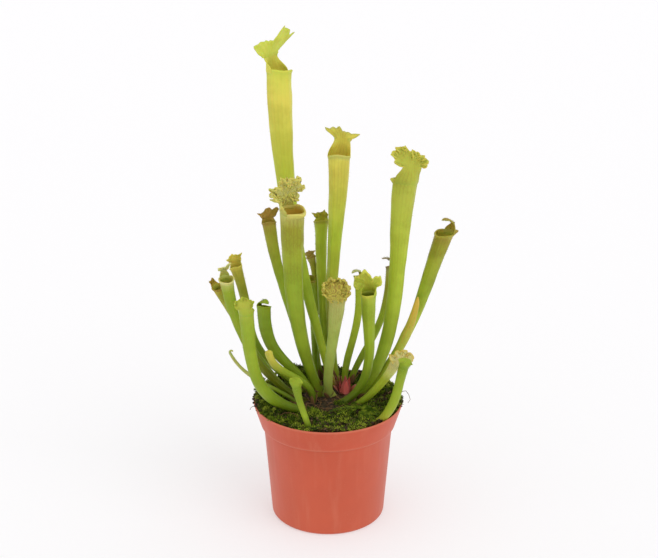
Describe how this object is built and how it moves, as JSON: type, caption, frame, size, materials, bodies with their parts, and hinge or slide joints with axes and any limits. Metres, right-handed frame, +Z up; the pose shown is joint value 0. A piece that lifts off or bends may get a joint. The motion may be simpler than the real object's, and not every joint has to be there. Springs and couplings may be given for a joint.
{
  "type": "potted pitcher plant",
  "caption": "Trumpet pitcher plant with hooded hollow leaves rising from a mossy crown in a tapered terracotta-coloured plastic nursery pot.",
  "frame": {"origin": "middle of the pot's flat underside, on the pot's axis", "axes": "+Z up along the pot's axis; -Y towards the plant's front, the side with the short young leaf at the rim; +X to the right seen from the front"},
  "size_m": [0.1994, 0.1249, 0.3912],
  "materials": {
    "terracotta_plastic": "satin",
    "peat": "matte",
    "moss": "matte",
    "rhizome_skin": "matte",
    "bud_red_skin": "satin",
    "leaf_lime": "satin",
    "leaf_green": "satin",
    "leaf_olive": "satin",
    "leaf_brown": "satin",
    "leaf_ochre": "satin",
    "leaf_pale": "satin",
    "leaf_withered": "matte"
  },
  "bodies": {
    "root": {"pot": "terracotta_plastic", "peat_plug": "peat", "moss_carpet": "moss", "rhizome": "rhizome_skin", "bud_red": "bud_red_skin", "pitcher_tallest": "leaf_lime", "pitcher_tall_ochre": "leaf_ochre", "pitcher_tall_right": "leaf_green", "pitcher_frilled_left": "leaf_green", "pitcher_front_ruffled": "leaf_pale", "pitcher_left_front": "leaf_lime", "pitcher_right_middle": "leaf_green", "pitcher_left_hooked": "leaf_olive", "pitcher_brown_slim": "leaf_brown", "pitcher_left_upper": "leaf_olive", "pitcher_left_outer": "leaf_olive", "pitcher_left_rear": "leaf_brown", "pitcher_back_middle": "leaf_green", "pitcher_back_brown": "leaf_brown", "pitcher_back_low": "leaf_brown", "pitcher_right_slim": "leaf_green", "pitcher_right_rear": "leaf_olive", "pitcher_right_outer": "leaf_green", "pitcher_withered": "leaf_withered", "pitcher_short_right": "leaf_green", "pitcher_short_front": "leaf_lime", "leaf_yellow_tip": "leaf_ochre", "leaf_withered_tip": "leaf_withered", "leaf_tendril": "leaf_green"}
  },
  "joints": []
}
